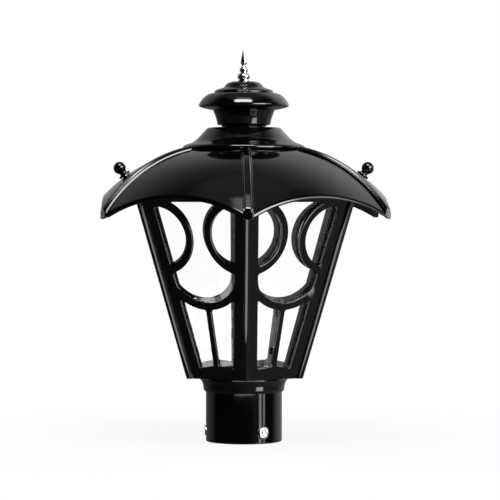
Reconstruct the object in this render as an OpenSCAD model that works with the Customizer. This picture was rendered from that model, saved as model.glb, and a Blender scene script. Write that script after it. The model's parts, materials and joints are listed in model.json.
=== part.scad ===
// Hexagonal post-top garden light: a glazed cage on a pole sleeve, under a ribbed
// umbrella roof with a vent stack and a turned finial.
// The origin is the centre of the sleeve's bottom face, +Z is up, and one corner
// of the cage points along -Y.

/* [Pole sleeve] */
// Outer diameter of the sleeve
sleeve_od = 87.6; // [84:0.2:92]
// Bore that drops over the pole
sleeve_bore = 77.6; // [70:0.2:79]
// Height from the mouth of the sleeve to the underside of the base plate
sleeve_h = 74.5; // [66:0.5:90]

/* [Clamp screws] */
// Diameter of each clamp screw
screw_d = 12; // [8:0.5:14]
// Height of the screws above the mouth of the sleeve
screw_z = 12.6; // [10:0.2:30]
// Diameter of the countersink round each screw
screw_sink_d = 16; // [14.5:0.5:18]
// How far a screw's outer end stands out of the sleeve
screw_proud = 1.2; // [0.4:0.1:3]
// Hexagon socket of the screw, across its flats
socket_af = 6; // [4:0.5:7]
// Depth of the hexagon socket
socket_depth = 3; // [1:0.25:4]
// Travel of a screw towards the pole
screw_travel = 2.5; // [1:0.25:2.5]

/* [Base casting] */
// Thickness of the base plate
base_t = 4; // [3:0.5:6]
// Height of the moulded collar below the base plate
collar_h = 17.2; // [14:0.2:24]
// Radius of the collar at its top rim
collar_r = 50.4; // [48.5:0.2:52]
// Diameter of the cable hole in the base plate
cable_hole_d = 28; // [12:1:40]

/* [Cage] */
// Height of the cage from the base plate's underside to the top frame
cage_h = 212.5; // [190:0.5:230]
// Radius of the cage at its corners, at the bottom
cage_bottom_r = 70.6; // [68:0.2:76]
// Radius of the cage at its corners, at the top
cage_top_r = 139.7; // [132:0.2:144]
// Thickness of a side frame casting
frame_t = 3.5; // [2.5:0.25:4]
// Width of each upright edge of a side frame
stile_w = 15.5; // [12:0.5:18]
// Height of the top rail of a side frame
top_rail_h = 12; // [9:0.5:16]
// Height of the sill at its ends
sill_h = 12; // [10:0.5:16]
// Rise of the sill's arched edge at its middle
sill_rise = 3; // [1:0.5:5]

/* [Tracery] */
// Width of the curved bars
ring_w = 8.5; // [6:0.5:10]
// Radius of the two side rings at the middle of the bar
side_ring_r = 40; // [34:0.5:42]
// Distance of a side ring's centre from the middle of the panel
side_ring_u = 52; // [48:0.5:56]
// Height of the side rings' centres up the panel
side_ring_v = 167.5; // [165:0.5:178]
// Radius of the hanging bow at the middle of the bar
bow_r = 48; // [44:0.5:50]
// Height of the bow's centre up the panel
bow_v = 134.5; // [130:0.5:142]
// Width of the upright bar below the bow
mullion_w = 6.5; // [4:0.5:9]

/* [Corner strips] */
// Width of the rounded bead on each corner
bead_w = 6.6; // [5:0.2:8]
// How far the bead stands out of the corner
bead_proud = 5; // [3.5:0.25:6]
// Thickness of the web between two side frames
web_t = 2.4; // [1.6:0.2:3]
// Reach of the inner flanges that hold the glass
flange_reach = 9; // [6:0.5:11]
// Thickness of the inner flanges
flange_t = 2.2; // [1.4:0.2:3]

/* [Glass] */
// Thickness of a pane
glass_t = 2; // [2:0.25:3]

/* [Top frame] */
// Thickness of the ring that caps the cage
ring_t = 5; // [3.5:0.5:7]
// Width of that ring
ring_flat = 21; // [16:1:30]
// Depth of the flange inside the side frames
curb_h = 6; // [5:0.5:8]
// Thickness of that flange
curb_t = 3; // [2:0.5:4]

/* [Roof] */
// Radius of the arc that each gore follows from the crown to the eave
roof_arc_r = 175.8; // [165:0.2:190]
// Height of the crown seat above the top frame
crown_rise = 46.5; // [42:0.5:54]
// Thickness of the roof shell
roof_t = 3; // [2:0.25:4]
// Distance of the arc's centre from the axis
roof_arc_x = 33; // [26:0.5:38]
// How far behind the axis each gore's own axis lies, which flattens the gore
gore_shift = 60; // [30:1:90]
// Distance from the axis to the middle of an eave
eave_r = 162; // [154:0.5:170]
// How far each tip is cut back from the corner of the eaves
tip_cut = 3; // [1.5:0.25:6]
// Width of a rib
rib_w = 12; // [9:0.5:14]
// Height of a rib above the roof
rib_h = 3.6; // [2.5:0.2:5]
// Inner radius of the crown ring
crown_bore_r = 46; // [40:0.5:48]
// Outer radius of the crown ring
crown_ring_r = 58; // [54:0.5:60]
// Height of the crown ring
crown_ring_h = 7.5; // [6.5:0.5:9]

/* [Roof fixings] */
// Distance from the axis to where a stud comes out of the roof
stud_r = 136; // [134:0.2:140]
// Diameter of the studs
stud_d = 6; // [5:0.5:7]
// Diameter of a ball nut's ball
ball_d = 14.4; // [12:0.2:16]
// Height of the ball's centre above the roof
ball_rise = 11.2; // [11:0.1:13.5]
// Diameter of a ball nut's flange
nut_flange_d = 14.5; // [12:0.5:17]
// Thickness of that flange
nut_flange_t = 2.6; // [2:0.2:3.2]
// Diameter of a ball nut's neck
nut_neck_d = 8.6; // [8:0.2:9.6]

/* [Vent stack] */
// Radius of the vent base at its rim
vent_rim_r = 70.6; // [68:0.2:71]
// Height of the vent base from its seat to its top
vent_base_h = 22; // [18:0.5:28]
// Radius of the neck at its foot
neck_foot_r = 30.6; // [29:0.2:33]
// Radius of the neck at its top
neck_top_r = 35.6; // [34.5:0.2:38]
// Height of the neck above the vent base
neck_h = 19.8; // [16:0.2:26]
// Height of the gap under the neck
neck_gap = 2.7; // [1.5:0.1:4]
// Radius of the cap at its rim
cap_r = 52.1; // [50:0.2:56]
// Height of the cap
cap_h = 33.3; // [30:0.1:38]
// Height of the finial
finial_h = 41.1; // [36:0.1:48]

/* [Lampholder] */
// Diameter of the centre rod
rod_d = 10; // [8:0.5:10]
// Thickness of the bridge under the crown
bridge_t = 3; // [2.5:0.25:4]
// Width of the bridge
bridge_w = 22; // [20:1:30]
// Outer diameter of the lampholder
holder_d = 40; // [38:0.5:44]
// Height of the lampholder
holder_h = 34.5; // [32:0.5:40]
// Diameter inside the lampholder's threaded shell
lamp_d = 26.8; // [26:0.1:27.4]

/* [Small screws] */
// Shank diameter of the frame screws
frame_screw_d = 3.4; // [3:0.2:4]
// Head diameter of the frame screws
frame_head_d = 7; // [6:0.5:8]
// Height of a frame screw's head
frame_head_h = 2.2; // [1.6:0.2:3]

/* [Hidden] */

// Fits
press_gap = 0.1;
turn_gap = 0.08;
slip_gap = 0.2;
run_gap = 0.3;
seat_gap = 0.3;
joint_gap = 0.15;
through_gap = 0.3;

// Smoothness of the round faces
$fn = 96;
fine_fn = 240;
// Reach of cutting solids beyond what they cut
over = 1;
far = 400;
// Extra length that end planes trim off a slanting piece
trim = 20;
// Turns the start line of a slanting hole away from its lowest point
seam_turn = 50;

// The cage is a frustum with six sides
sides = 6;
side_angle = 360 / sides;
half_angle = side_angle / 2;
first_corner = -90;
first_panel = first_corner + half_angle;
cage_z0 = sleeve_h;
cage_z1 = cage_z0 + cage_h;
flat_bottom_r = cage_bottom_r * cos(half_angle);
flat_top_r = cage_top_r * cos(half_angle);
panel_tilt = atan((flat_top_r - flat_bottom_r) / cage_h);
corner_tilt = atan((cage_top_r - cage_bottom_r) / cage_h);
panel_slant = cage_h / cos(panel_tilt);
// Half the angle between the normals of two neighbouring panels
fold = asin(sin(half_angle) * cos(panel_tilt));
function flat_r(z) = flat_bottom_r + (z - cage_z0) * tan(panel_tilt);
function half_width(v) = (cage_bottom_r + (cage_top_r - cage_bottom_r) * v / panel_slant) / 2;
function inner_face_r(z) = flat_r(z) - frame_t / cos(panel_tilt);

// Heights of the base plate, the panes and the top frame
base_top_z = cage_z0 + base_t;
foot_t = 3;
foot_w = 14;
foot_reach = 12;
pane_z0 = base_top_z + foot_t + 0.5;
curb_z0 = cage_z1 - curb_h;
pane_z1 = curb_z0 - 1;
ring_top_z = cage_z1 + ring_t;
pane_edge = web_t / 2 + 0.8;
// Frame screws: distance from the middle of a top rail, and radius at the feet
rail_screw_y = 30;
foot_screw_r = inner_face_r(base_top_z + foot_t) - foot_reach / 2;
// Floor under the base plate's screw holes, and a screw's clearance above it
hole_floor = 1;
rail_screw_len = frame_t + curb_t + 2;
tip_gap = 0.3;
pane_back = frame_t + seat_gap + glass_t;
// How far the inner flange's web runs into the bead's web, in one casting
web_lap = 1;

// Clamp screws
screw_angles = [-60, 60, 180];
screw_tip_r = sleeve_bore / 2 + run_gap;
screw_len = sleeve_od / 2 + screw_proud - screw_tip_r;

// Roof surfaces: an arc in the plane through the middle of a gore
crown_z = ring_top_z + crown_rise;
roof_arc_z = crown_z - roof_arc_r - 0.25;
crown_ring_z0 = crown_z - crown_ring_h;
function arc_z(r) = roof_arc_z + sqrt(pow(roof_arc_r, 2) - pow(r - roof_arc_x, 2));
// Radius of the crease between two gores where the middle of a gore has radius r
function crease_r(r) = sqrt(pow(gore_shift * cos(half_angle), 2) + r * r + 2 * gore_shift * r)
    - gore_shift * cos(half_angle);
// Radius at the middle of a gore where the crease has radius r
function gore_r(r) = sqrt(pow(gore_shift, 2) + r * r + 2 * gore_shift * r * cos(half_angle))
    - gore_shift;
function crease_z(r) = arc_z(gore_r(r));
rib_in_r = vent_rim_r + 0.9;
tip_r = eave_r / cos(half_angle) - tip_cut;
rib_out_r = tip_r - rib_w / 4;
rib_steps = 16;
rib_root = 2.6;
lug_w = 10;
lug_len = 12;
lug_r = cage_top_r - 21.7;

// Studs and ball nuts, square to the roof
stud_tilt = asin((stud_r - roof_arc_x) / roof_arc_r);
stud_z = arc_z(stud_r);
stud_boss_d = 13;
stud_boss_top = -(roof_t + 5);
stud_foot = -(stud_z - cage_z1 - 1) / cos(stud_tilt);
stud_end = ball_rise - 2.5;
// How far a stud's hole reaches each way from the roof's surface
stud_hole = 20;
shelf_w = 18;
shelf_reach = 11.5;

// Vent stack and rod
vent_z = crown_z;
vent_top_z = vent_z + vent_base_h;
spigot_r = neck_foot_r - 5;
air_r = 22;
ledge_drop = 1.2;
cap_z = vent_top_z + neck_h;
cap_top_z = cap_z + cap_h;
bridge_top_z = crown_ring_z0;
washer_d = 22;
washer_t = 1.4;
nut_af = 17;
nut_t = 5;
nut_bottom_z = bridge_top_z - bridge_t - washer_t - nut_t;
holder_top_z = nut_bottom_z - run_gap;
holder_z = holder_top_z - holder_h;
rod_sink = 7.5;
rod_z0 = holder_top_z - rod_sink + 0.3;
rod_top_z = cap_top_z + 6.8;
socket_roof = 9.3;
shell_t = 0.9;

module ring(r_out, r_in, h) {
    difference() {
        cylinder(r = r_out, h = h);
        translate([0, 0, -over]) cylinder(r = r_in, h = h + 2 * over);
    }
}

// A regular hexagonal prism with flats at the given distance and corners on the cage's
module hex_prism(flat, h) {
    rotate([0, 0, first_corner]) cylinder(r = flat / cos(half_angle), h = h, $fn = sides);
}

// A hexagonal bar for nuts and sockets, across its flats
module hex_bar(af, h) {
    cylinder(r = af / 2 / cos(30), h = h, $fn = 6);
}

// The sector of one panel, its sides set back from the two corner planes
module sector(setback, reach, z0, z1) {
    apex = setback / sin(half_angle);
    side = (reach - apex) * tan(half_angle);
    translate([0, 0, z0]) linear_extrude(z1 - z0) polygon([[apex, 0], [reach, -side], [reach, side]]);
}

module at_panel(i) {
    rotate([0, 0, first_panel + (i - 1) * side_angle]) children();
}

module at_corner(i) {
    rotate([0, 0, first_corner + (i - 1) * side_angle]) children();
}

// Panel coordinates: x outwards from the outer face, y across, z up the slant
module on_panel() {
    translate([flat_bottom_r, 0, cage_z0]) rotate([0, panel_tilt, 0]) children();
}

// A flat plate on the panel from an outline drawn as across and up
module plate(back, t) {
    on_panel() translate([-back, 0, 0]) rotate([90, 0, 90]) linear_extrude(t) children();
}

module frame_outline() {
    v_sill = sill_h / cos(panel_tilt);
    v_rail = (cage_h - top_rail_h) / cos(panel_tilt);
    w0 = half_width(v_sill) - stile_w;
    w1 = half_width(v_rail) - stile_w;
    edge = half_width(panel_slant) + trim / 2;
    sill_r = (pow(w0, 2) + pow(sill_rise, 2)) / (2 * sill_rise);
    difference() {
        translate([-edge, -trim / 2]) square([2 * edge, panel_slant + trim]);
        polygon([[-w0, v_sill], [w0, v_sill], [w1, v_rail], [-w1, v_rail]]);
    }
    intersection() {
        polygon([[-w0 - 5, v_sill - 5], [w0 + 5, v_sill - 5], [w1 + 5, v_rail + 5], [-w1 - 5, v_rail + 5]]);
        union() {
            for (s = [-1, 1]) translate([s * side_ring_u, side_ring_v]) bar_ring(side_ring_r);
            intersection() {
                translate([0, bow_v]) bar_ring(bow_r);
                translate([-edge, bow_v - bow_r - ring_w]) square([2 * edge, bow_r + ring_w]);
            }
            translate([-mullion_w / 2, v_sill - 3]) square([mullion_w, bow_v - bow_r - v_sill + 3]);
            translate([0, v_sill + sill_rise - sill_r]) circle(r = sill_r, $fn = fine_fn);
        }
    }
}

module bar_ring(r) {
    difference() {
        circle(r = r + ring_w / 2, $fn = fine_fn);
        circle(r = r - ring_w / 2, $fn = fine_fn);
    }
}

// Places of the two screws along the top rail of a panel
module at_rail_screws() {
    rail_screw_v = (cage_h - 0.75 * curb_h) / cos(panel_tilt);
    on_panel() for (s = [-1, 1]) translate([0, s * rail_screw_y, rail_screw_v])
        rotate([0, 90, 0]) children();
}

module side_frame(i) {
    color([0.03, 0.03, 0.035]) at_panel(i) difference() {
        union() {
            intersection() {
                plate(frame_t, frame_t) frame_outline();
                sector(web_t / 2 + joint_gap, far, cage_z0, cage_z1);
            }
            translate([inner_face_r(base_top_z + foot_t) - foot_reach, -foot_w / 2, base_top_z])
                cube([foot_reach + frame_t / 2, foot_w, foot_t]);
        }
        at_rail_screws() translate([0, 0, -frame_t - over])
            cylinder(r = frame_screw_d / 2 + through_gap / 2, h = frame_t + 2 * over);
        translate([foot_screw_r, 0, base_top_z - over])
            cylinder(r = frame_screw_d / 2 + through_gap / 2, h = foot_t + 2 * over);
    }
}

// Section of a corner strip: outwards is x, across is y
module strip_bead() {
    nose = bead_proud - bead_w / 2;
    under = tan(fold);
    intersection() {
        translate([nose, 0]) circle(r = bead_w / 2);
        translate([0, -bead_w]) square(2 * bead_w);
    }
    polygon([[nose, bead_w / 2], [slip_gap - under * bead_w / 2, bead_w / 2],
        [slip_gap - under * web_t / 2, web_t / 2], [-frame_t / cos(fold), web_t / 2],
        [-frame_t / cos(fold), -web_t / 2], [slip_gap - under * web_t / 2, -web_t / 2],
        [slip_gap - under * bead_w / 2, -bead_w / 2], [nose, -bead_w / 2]]);
}

module strip_flange() {
    seat = (pane_back + slip_gap) / cos(fold);
    under = tan(fold);
    root = web_lap - frame_t / cos(fold);
    polygon([[root, web_t / 2], [-seat - under * web_t / 2, web_t / 2],
        [-seat - under * flange_reach, flange_reach],
        [-seat - under * flange_reach - flange_t, flange_reach], [-seat - flange_t, 0],
        [-seat - under * flange_reach - flange_t, -flange_reach],
        [-seat - under * flange_reach, -flange_reach],
        [-seat - under * web_t / 2, -web_t / 2], [root, -web_t / 2]]);
}

module on_corner() {
    translate([cage_bottom_r, 0, cage_z0]) rotate([0, corner_tilt, 0])
        translate([0, 0, -trim]) linear_extrude(cage_h / cos(corner_tilt) + 2 * trim) children();
}

module slab(z0, z1) {
    translate([-far, -far, z0]) cube([2 * far, 2 * far, z1 - z0]);
}

module corner_strip(i) {
    color([0.035, 0.035, 0.04]) at_corner(i) {
        intersection() {
            on_corner() strip_bead();
            slab(cage_z0, cage_z1);
        }
        intersection() {
            on_corner() strip_flange();
            slab(base_top_z + slip_gap, curb_z0 - slip_gap);
        }
    }
}

module glass_pane(i) {
    edge = half_width(panel_slant);
    color([0.85, 0.92, 0.92, 0.25]) at_panel(i) intersection() {
        plate(pane_back, glass_t) translate([-edge, -trim / 2])
            square([2 * edge, panel_slant + trim]);
        sector(pane_edge, far, pane_z0, pane_z1);
    }
}

module pole_sleeve() {
    wall = (sleeve_od - sleeve_bore) / 2;
    color([0.02, 0.02, 0.025]) difference() {
        ring(sleeve_od / 2, sleeve_bore / 2, sleeve_h);
        for (a = screw_angles) rotate([0, 0, a]) translate([sleeve_bore / 2 - over, 0, screw_z])
            rotate([0, 90, 0]) cylinder(r = screw_d / 2 + slip_gap, h = wall + 2 * over);
        for (a = screw_angles) rotate([0, 0, a]) translate([sleeve_od / 2 - wall / 3, 0, screw_z])
            rotate([0, 90, 0]) cylinder(r = screw_sink_d / 2, h = wall);
    }
}

module clamp_screw(i) {
    color([0.85, 0.86, 0.87]) rotate([0, 0, screw_angles[i - 1]]) translate([screw_tip_r, 0, screw_z])
        rotate([0, 90, 0]) difference() {
            cylinder(r = screw_d / 2, h = screw_len);
            translate([0, 0, screw_len - socket_depth]) hex_bar(socket_af, socket_depth + over);
        }
}

// The collar's outline, from its foot up to the plate
module collar_profile() {
    inner = sleeve_od / 2 + press_gap;
    foot = cage_z0 - collar_h;
    waist = collar_r - 3.4;
    polygon([[inner, foot], [inner + 0.8, foot], [waist - 0.8, foot + 1.7],
        [waist - 0.2, foot + 4.6], [waist + 0.2, foot + 8.6], [waist + 1.6, foot + 12],
        [collar_r, foot + 14], [collar_r, foot + 15.8], [collar_r - 1, cage_z0],
        [collar_r - 1, cage_z0 + over], [inner, cage_z0 + over]]);
}

module base_casting() {
    color([0.03, 0.03, 0.035]) difference() {
        union() {
            rotate_extrude() collar_profile();
            translate([0, 0, cage_z0]) hex_prism(inner_face_r(cage_z0) - slip_gap, base_t);
        }
        translate([0, 0, cage_z0 - over]) cylinder(d = cable_hole_d, h = base_t + 2 * over);
        for (i = [1 : sides]) at_panel(i) translate([foot_screw_r, 0, cage_z0 + hole_floor])
            cylinder(r = frame_screw_d / 2 + joint_gap, h = base_t);
    }
}

module base_screws() {
    color([0.75, 0.75, 0.76]) for (i = [1 : sides]) at_panel(i) translate([foot_screw_r, 0, 0]) {
        translate([0, 0, base_top_z + foot_t]) cylinder(d = frame_head_d, h = frame_head_h);
        translate([0, 0, cage_z0 + hole_floor + tip_gap])
            cylinder(d = frame_screw_d, h = base_t + foot_t - hole_floor);
    }
}

module top_screws() {
    color([0.05, 0.05, 0.055]) for (i = [1 : sides]) at_panel(i) at_rail_screws() {
        cylinder(d = frame_head_d, h = frame_head_h);
        translate([0, 0, -rail_screw_len]) cylinder(d = frame_screw_d, h = rail_screw_len + tip_gap);
    }
}

// Stud coordinates: z along the stud, zero where it comes out of the roof
module on_stud(a) {
    rotate([0, 0, a]) translate([stud_r, 0, stud_z]) rotate([0, stud_tilt, 0]) children();
}

module top_frame() {
    curb_r = inner_face_r(curb_z0) - slip_gap;
    color([0.03, 0.03, 0.035]) difference() {
        union() {
            difference() {
                translate([0, 0, cage_z1]) hex_prism(flat_top_r, ring_t);
                translate([0, 0, cage_z1 - over]) hex_prism(flat_top_r - ring_flat, ring_t + 2 * over);
            }
            difference() {
                translate([0, 0, curb_z0]) hex_prism(curb_r, curb_h + over);
                translate([0, 0, curb_z0 - over]) hex_prism(curb_r - curb_t, curb_h + 3 * over);
            }
            for (a = [0, 180]) {
                rotate([0, 0, a]) translate([flat_top_r - 5, -shelf_w / 2, cage_z1])
                    cube([5 + shelf_reach, shelf_w, ring_t]);
                intersection() {
                    on_stud(a) translate([0, 0, stud_foot - 10])
                        cylinder(d = stud_boss_d, h = stud_boss_top - stud_foot + 10);
                    slab(cage_z1, far);
                }
            }
        }
        for (a = [0, 180]) on_stud(a) translate([0, 0, stud_foot])
            cylinder(d = stud_d + press_gap, h = far);
        for (i = [1 : sides]) at_panel(i) at_rail_screws() translate([0, 0, -rail_screw_len - over])
            rotate([0, 0, seam_turn]) cylinder(r = frame_screw_d / 2 + joint_gap, h = rail_screw_len);
    }
}

// One gore of the shell, between its two creases and inside the eave
module gore() {
    eave_half = eave_r * tan(half_angle);
    intersection() {
        translate([-gore_shift, 0, 0]) rotate_extrude($fn = fine_fn) intersection() {
            translate([roof_arc_x + gore_shift, roof_arc_z]) difference() {
                circle(r = roof_arc_r, $fn = 360);
                circle(r = roof_arc_r - roof_t, $fn = 360);
            }
            translate([gore_shift + crown_bore_r / 2, roof_arc_z]) square([far, far]);
        }
        linear_extrude(far) polygon([[0, 0], [eave_r, -eave_half], [eave_r, eave_half]]);
    }
}

// Points of a rib's upper line, raised square to the crease
function rib_point(r, lift) =
    let (slope = atan((crease_z(r - 0.5) - crease_z(r + 0.5)) / 1))
    [r + lift * sin(slope), crease_z(r) + lift * cos(slope)];

module rib_layer(lift, w, out_r) {
    step = (out_r - rib_in_r) / rib_steps;
    rotate([90, 0, 0]) translate([0, 0, -w / 2]) linear_extrude(w) polygon(concat(
        [for (k = [0 : rib_steps]) rib_point(rib_in_r + k * step, lift)],
        [for (k = [rib_steps : -1 : 0]) rib_point(rib_in_r + k * step, -rib_root)]));
}

module rib() {
    rib_layer(rib_h * 0.6, rib_w, rib_out_r);
    rib_layer(rib_h, rib_w * 0.6, rib_out_r);
}

module lug() {
    seat = ring_top_z;
    rotate([90, 0, 0]) translate([0, 0, -lug_w / 2]) linear_extrude(lug_w)
        polygon([[lug_r, seat], [lug_r + lug_len, seat],
            [lug_r + lug_len, crease_z(lug_r + lug_len) - roof_t / 2],
            [lug_r, crease_z(lug_r) - roof_t / 2]]);
}

module roof() {
    color([0.03, 0.03, 0.035]) difference() {
        union() {
            intersection() {
                union() {
                    for (i = [1 : sides]) at_panel(i) gore();
                    for (i = [1 : sides]) at_corner(i) rib();
                }
                cylinder(r = tip_r, h = far, $fn = fine_fn);
            }
            translate([0, 0, crown_ring_z0]) cylinder(r = crown_ring_r, h = crown_ring_h);
            for (i = [1 : sides]) at_corner(i) lug();
        }
        translate([0, 0, crown_ring_z0 - over]) cylinder(r = crown_bore_r, h = far);
        translate([0, 0, crown_z]) cylinder(r = crown_ring_r + 3, h = far);
        for (a = [0, 180]) on_stud(a) translate([0, 0, -stud_hole])
            cylinder(r = stud_d / 2 + through_gap, h = 2 * stud_hole);
    }
}

module stud(a) {
    color([0.6, 0.6, 0.62]) on_stud(a) translate([0, 0, stud_foot + slip_gap])
        cylinder(d = stud_d, h = stud_end - stud_foot - slip_gap);
}

module ball_nut(a) {
    color([0.04, 0.04, 0.045]) on_stud(a) difference() {
        union() {
            translate([0, 0, seat_gap]) cylinder(d = nut_flange_d, h = nut_flange_t);
            translate([0, 0, seat_gap]) cylinder(d = nut_neck_d, h = ball_rise - seat_gap);
            translate([0, 0, ball_rise]) sphere(d = ball_d);
        }
        translate([0, 0, -over]) cylinder(r = stud_d / 2 + turn_gap, h = stud_end + over + 0.5);
    }
}

module roof_bridge() {
    reach = (crown_bore_r + crown_ring_r) / 2 + 3;
    color([0.6, 0.6, 0.62]) translate([0, 0, bridge_top_z - bridge_t]) difference() {
        translate([-reach, -bridge_w / 2, 0]) cube([2 * reach, bridge_w, bridge_t]);
        translate([0, 0, -over]) cylinder(r = rod_d / 2 + slip_gap, h = bridge_t + 2 * over);
    }
}

module centre_rod() {
    color([0.7, 0.7, 0.72]) translate([0, 0, rod_z0]) cylinder(d = rod_d, h = rod_top_z - rod_z0);
}

module rod_nut() {
    color([0.7, 0.7, 0.72]) translate([0, 0, nut_bottom_z]) difference() {
        union() {
            hex_bar(nut_af, nut_t);
            translate([0, 0, nut_t]) cylinder(d = washer_d, h = washer_t);
        }
        translate([0, 0, -over]) cylinder(r = rod_d / 2 + joint_gap, h = nut_t + washer_t + 2 * over);
    }
}

// Outlines of the vent stack are drawn from their own seats
module vent_base() {
    h = vent_base_h;
    rim = vent_rim_r;
    seat = crown_ring_r - 8;
    color([0.03, 0.03, 0.035]) translate([0, 0, vent_z]) rotate_extrude() polygon([
        [seat, 0], [crown_ring_r + 2.5, 0], [crown_ring_r + 3.5, -1.6], [rim - 0.8, -3],
        [rim, -2], [rim, -0.6], [rim - 1, 1.1], [rim - 4, 2.5], [rim - 8.5, 3.8],
        [rim - 13, 5.8], [rim - 17, 9], [rim - 20.7, 13], [rim - 24, h - 5.5],
        [rim - 26.9, h - 2.2], [rim - 28.8, h - 0.6], [rim - 30.6, h], [rim - 36, h],
        [rim - 36.6, h - ledge_drop], [air_r, h - ledge_drop], [air_r, h - 4],
        [rim - 33, h - 4], [rim - 30, h - 5], [rim - 26.6, h - 8.6], [rim - 23, h - 12.5],
        [seat, 6.5]]);
}

module vent_neck() {
    foot = neck_foot_r;
    top = neck_top_r;
    h = neck_h;
    color([0.03, 0.03, 0.035]) translate([0, 0, vent_top_z]) rotate_extrude() polygon([
        [air_r, -ledge_drop], [spigot_r, -ledge_drop], [spigot_r, neck_gap], [foot - 0.4, neck_gap],
        [foot, neck_gap + 1], [foot + 0.6, neck_gap + 4], [foot + 2, h * 0.62],
        [top - 0.4, h - 0.8], [top, h], [top - 3, h], [foot - 0.8, h * 0.6],
        [foot - 2.2, neck_gap + 3], [air_r, neck_gap + 3]]);
}

module vent_cap() {
    r = cap_r;
    h = cap_h;
    mid = h - 12.4;
    bore = rod_d / 2 + slip_gap;
    color([0.03, 0.03, 0.035]) translate([0, 0, cap_z]) rotate_extrude() polygon([
        [neck_top_r - 2.8, 0], [neck_top_r + 0.2, 0], [r - 11, 1.1], [r - 5.6, 2.3], [r - 1.3, 3.6],
        [r, 5.1], [r - 0.1, 6.3], [r - 1.2, 8.6], [r - 3.3, 11.9], [r - 6.3, 15.1],
        [r - 9.5, 17.5], [r - 12.3, 19], [r - 18.1, mid - 1], [r - 17.8, mid],
        [r - 18.4, mid + 1.3], [r - 20.3, mid + 2.5], [r - 23.1, mid + 3.5], [r - 27, mid + 4.5],
        [r - 28.8, mid + 5.2], [r - 30.2, mid + 7], [r - 31.6, mid + 8.7], [r - 33.6, mid + 10.4],
        [r - 36.5, h - 1], [r - 40.3, h - 0.2], [bore + 2, h], [bore, h], [bore, h - 3],
        [r - 36, h - 3.6], [r - 33, mid + 5], [r - 24, mid - 2], [r - 14, mid - 5],
        [r - 6.6, mid - 10.4], [r - 4.6, mid - 14], [r - 7, mid - 15.6], [neck_top_r - 2, 3.3]]);
}

module finial() {
    h = finial_h;
    color([0.85, 0.86, 0.87]) translate([0, 0, cap_top_z]) difference() {
        rotate_extrude() polygon([[0, 0], [6.8, 0], [6.5, 1.6], [6, 2.6], [7.2, 3.6], [7.9, 5.6],
            [7.2, 7.7], [4.6, 9.3], [3.5, 10.3], [4.8, 11.2], [5.5, 13], [4.7, 15], [3, 16.4],
            [2.3, 17.8], [2.7, 19], [3.7, 20.6], [4, 22], [3.6, 24.4], [2.7, 28.4], [1.7, h - 7.2],
            [0.8, h - 2.3], [0.25, h], [0, h]]);
        translate([0, 0, -over]) cylinder(r = rod_d / 2 + joint_gap, h = rod_top_z - cap_top_z + over + 0.3);
    }
}

module lampholder() {
    r = holder_d / 2;
    h = holder_h;
    mouth = lamp_d / 2 + shell_t + slip_gap;
    color([0.92, 0.91, 0.88]) translate([0, 0, holder_z]) difference() {
        rotate_extrude() polygon([[0, 0], [r - 1, 0], [r, 1.7], [r, h - 14.8], [r - 3, h - 12.3],
            [r - 3, h - 6.3], [r - 4.5, h - 2.3], [r - 8, h], [0, h]]);
        translate([0, 0, -over]) cylinder(r = mouth, h = h - socket_roof + over);
        translate([0, 0, h - rod_sink]) cylinder(r = rod_d / 2 + joint_gap, h = rod_sink + over);
    }
}

module holder_shell() {
    color([0.85, 0.68, 0.35]) translate([0, 0, holder_z + 2.2])
        ring(lamp_d / 2 + shell_t, lamp_d / 2, holder_h - socket_roof - 4.5);
}

module centre_contact() {
    top = holder_z + holder_h - socket_roof;
    color([0.85, 0.68, 0.35]) {
        translate([0, 0, top - 1.2]) cylinder(r = 8, h = 1.2);
        translate([0, 0, top - 4]) cylinder(r = 3.5, h = 3.2);
    }
}

pole_sleeve();
base_casting();
clamp_screw(1);  // clamp_screw_1
clamp_screw(2);  // clamp_screw_2
clamp_screw(3);  // clamp_screw_3
side_frame(1);  // side_frame_1
side_frame(2);  // side_frame_2
side_frame(3);  // side_frame_3
side_frame(4);  // side_frame_4
side_frame(5);  // side_frame_5
side_frame(6);  // side_frame_6
corner_strip(1);  // corner_strip_1
corner_strip(2);  // corner_strip_2
corner_strip(3);  // corner_strip_3
corner_strip(4);  // corner_strip_4
corner_strip(5);  // corner_strip_5
corner_strip(6);  // corner_strip_6
glass_pane(1);  // glass_pane_1
glass_pane(2);  // glass_pane_2
glass_pane(3);  // glass_pane_3
glass_pane(4);  // glass_pane_4
glass_pane(5);  // glass_pane_5
glass_pane(6);  // glass_pane_6
base_screws();
top_screws();
top_frame();
roof();
stud(180);  // stud_left
stud(0);  // stud_right
ball_nut(180);  // ball_nut_left
ball_nut(0);  // ball_nut_right
roof_bridge();
centre_rod();
rod_nut();
vent_base();
vent_neck();
vent_cap();
finial();
lampholder();
holder_shell();
centre_contact();
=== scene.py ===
"""Looks of a hexagonal post-top garden light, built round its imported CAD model.

Lengths are in millimetres up to new_piece(), which turns them into metres.
"""
import json
import math

import bmesh
import bpy
import numpy as np
from mathutils import Matrix, Vector


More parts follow.
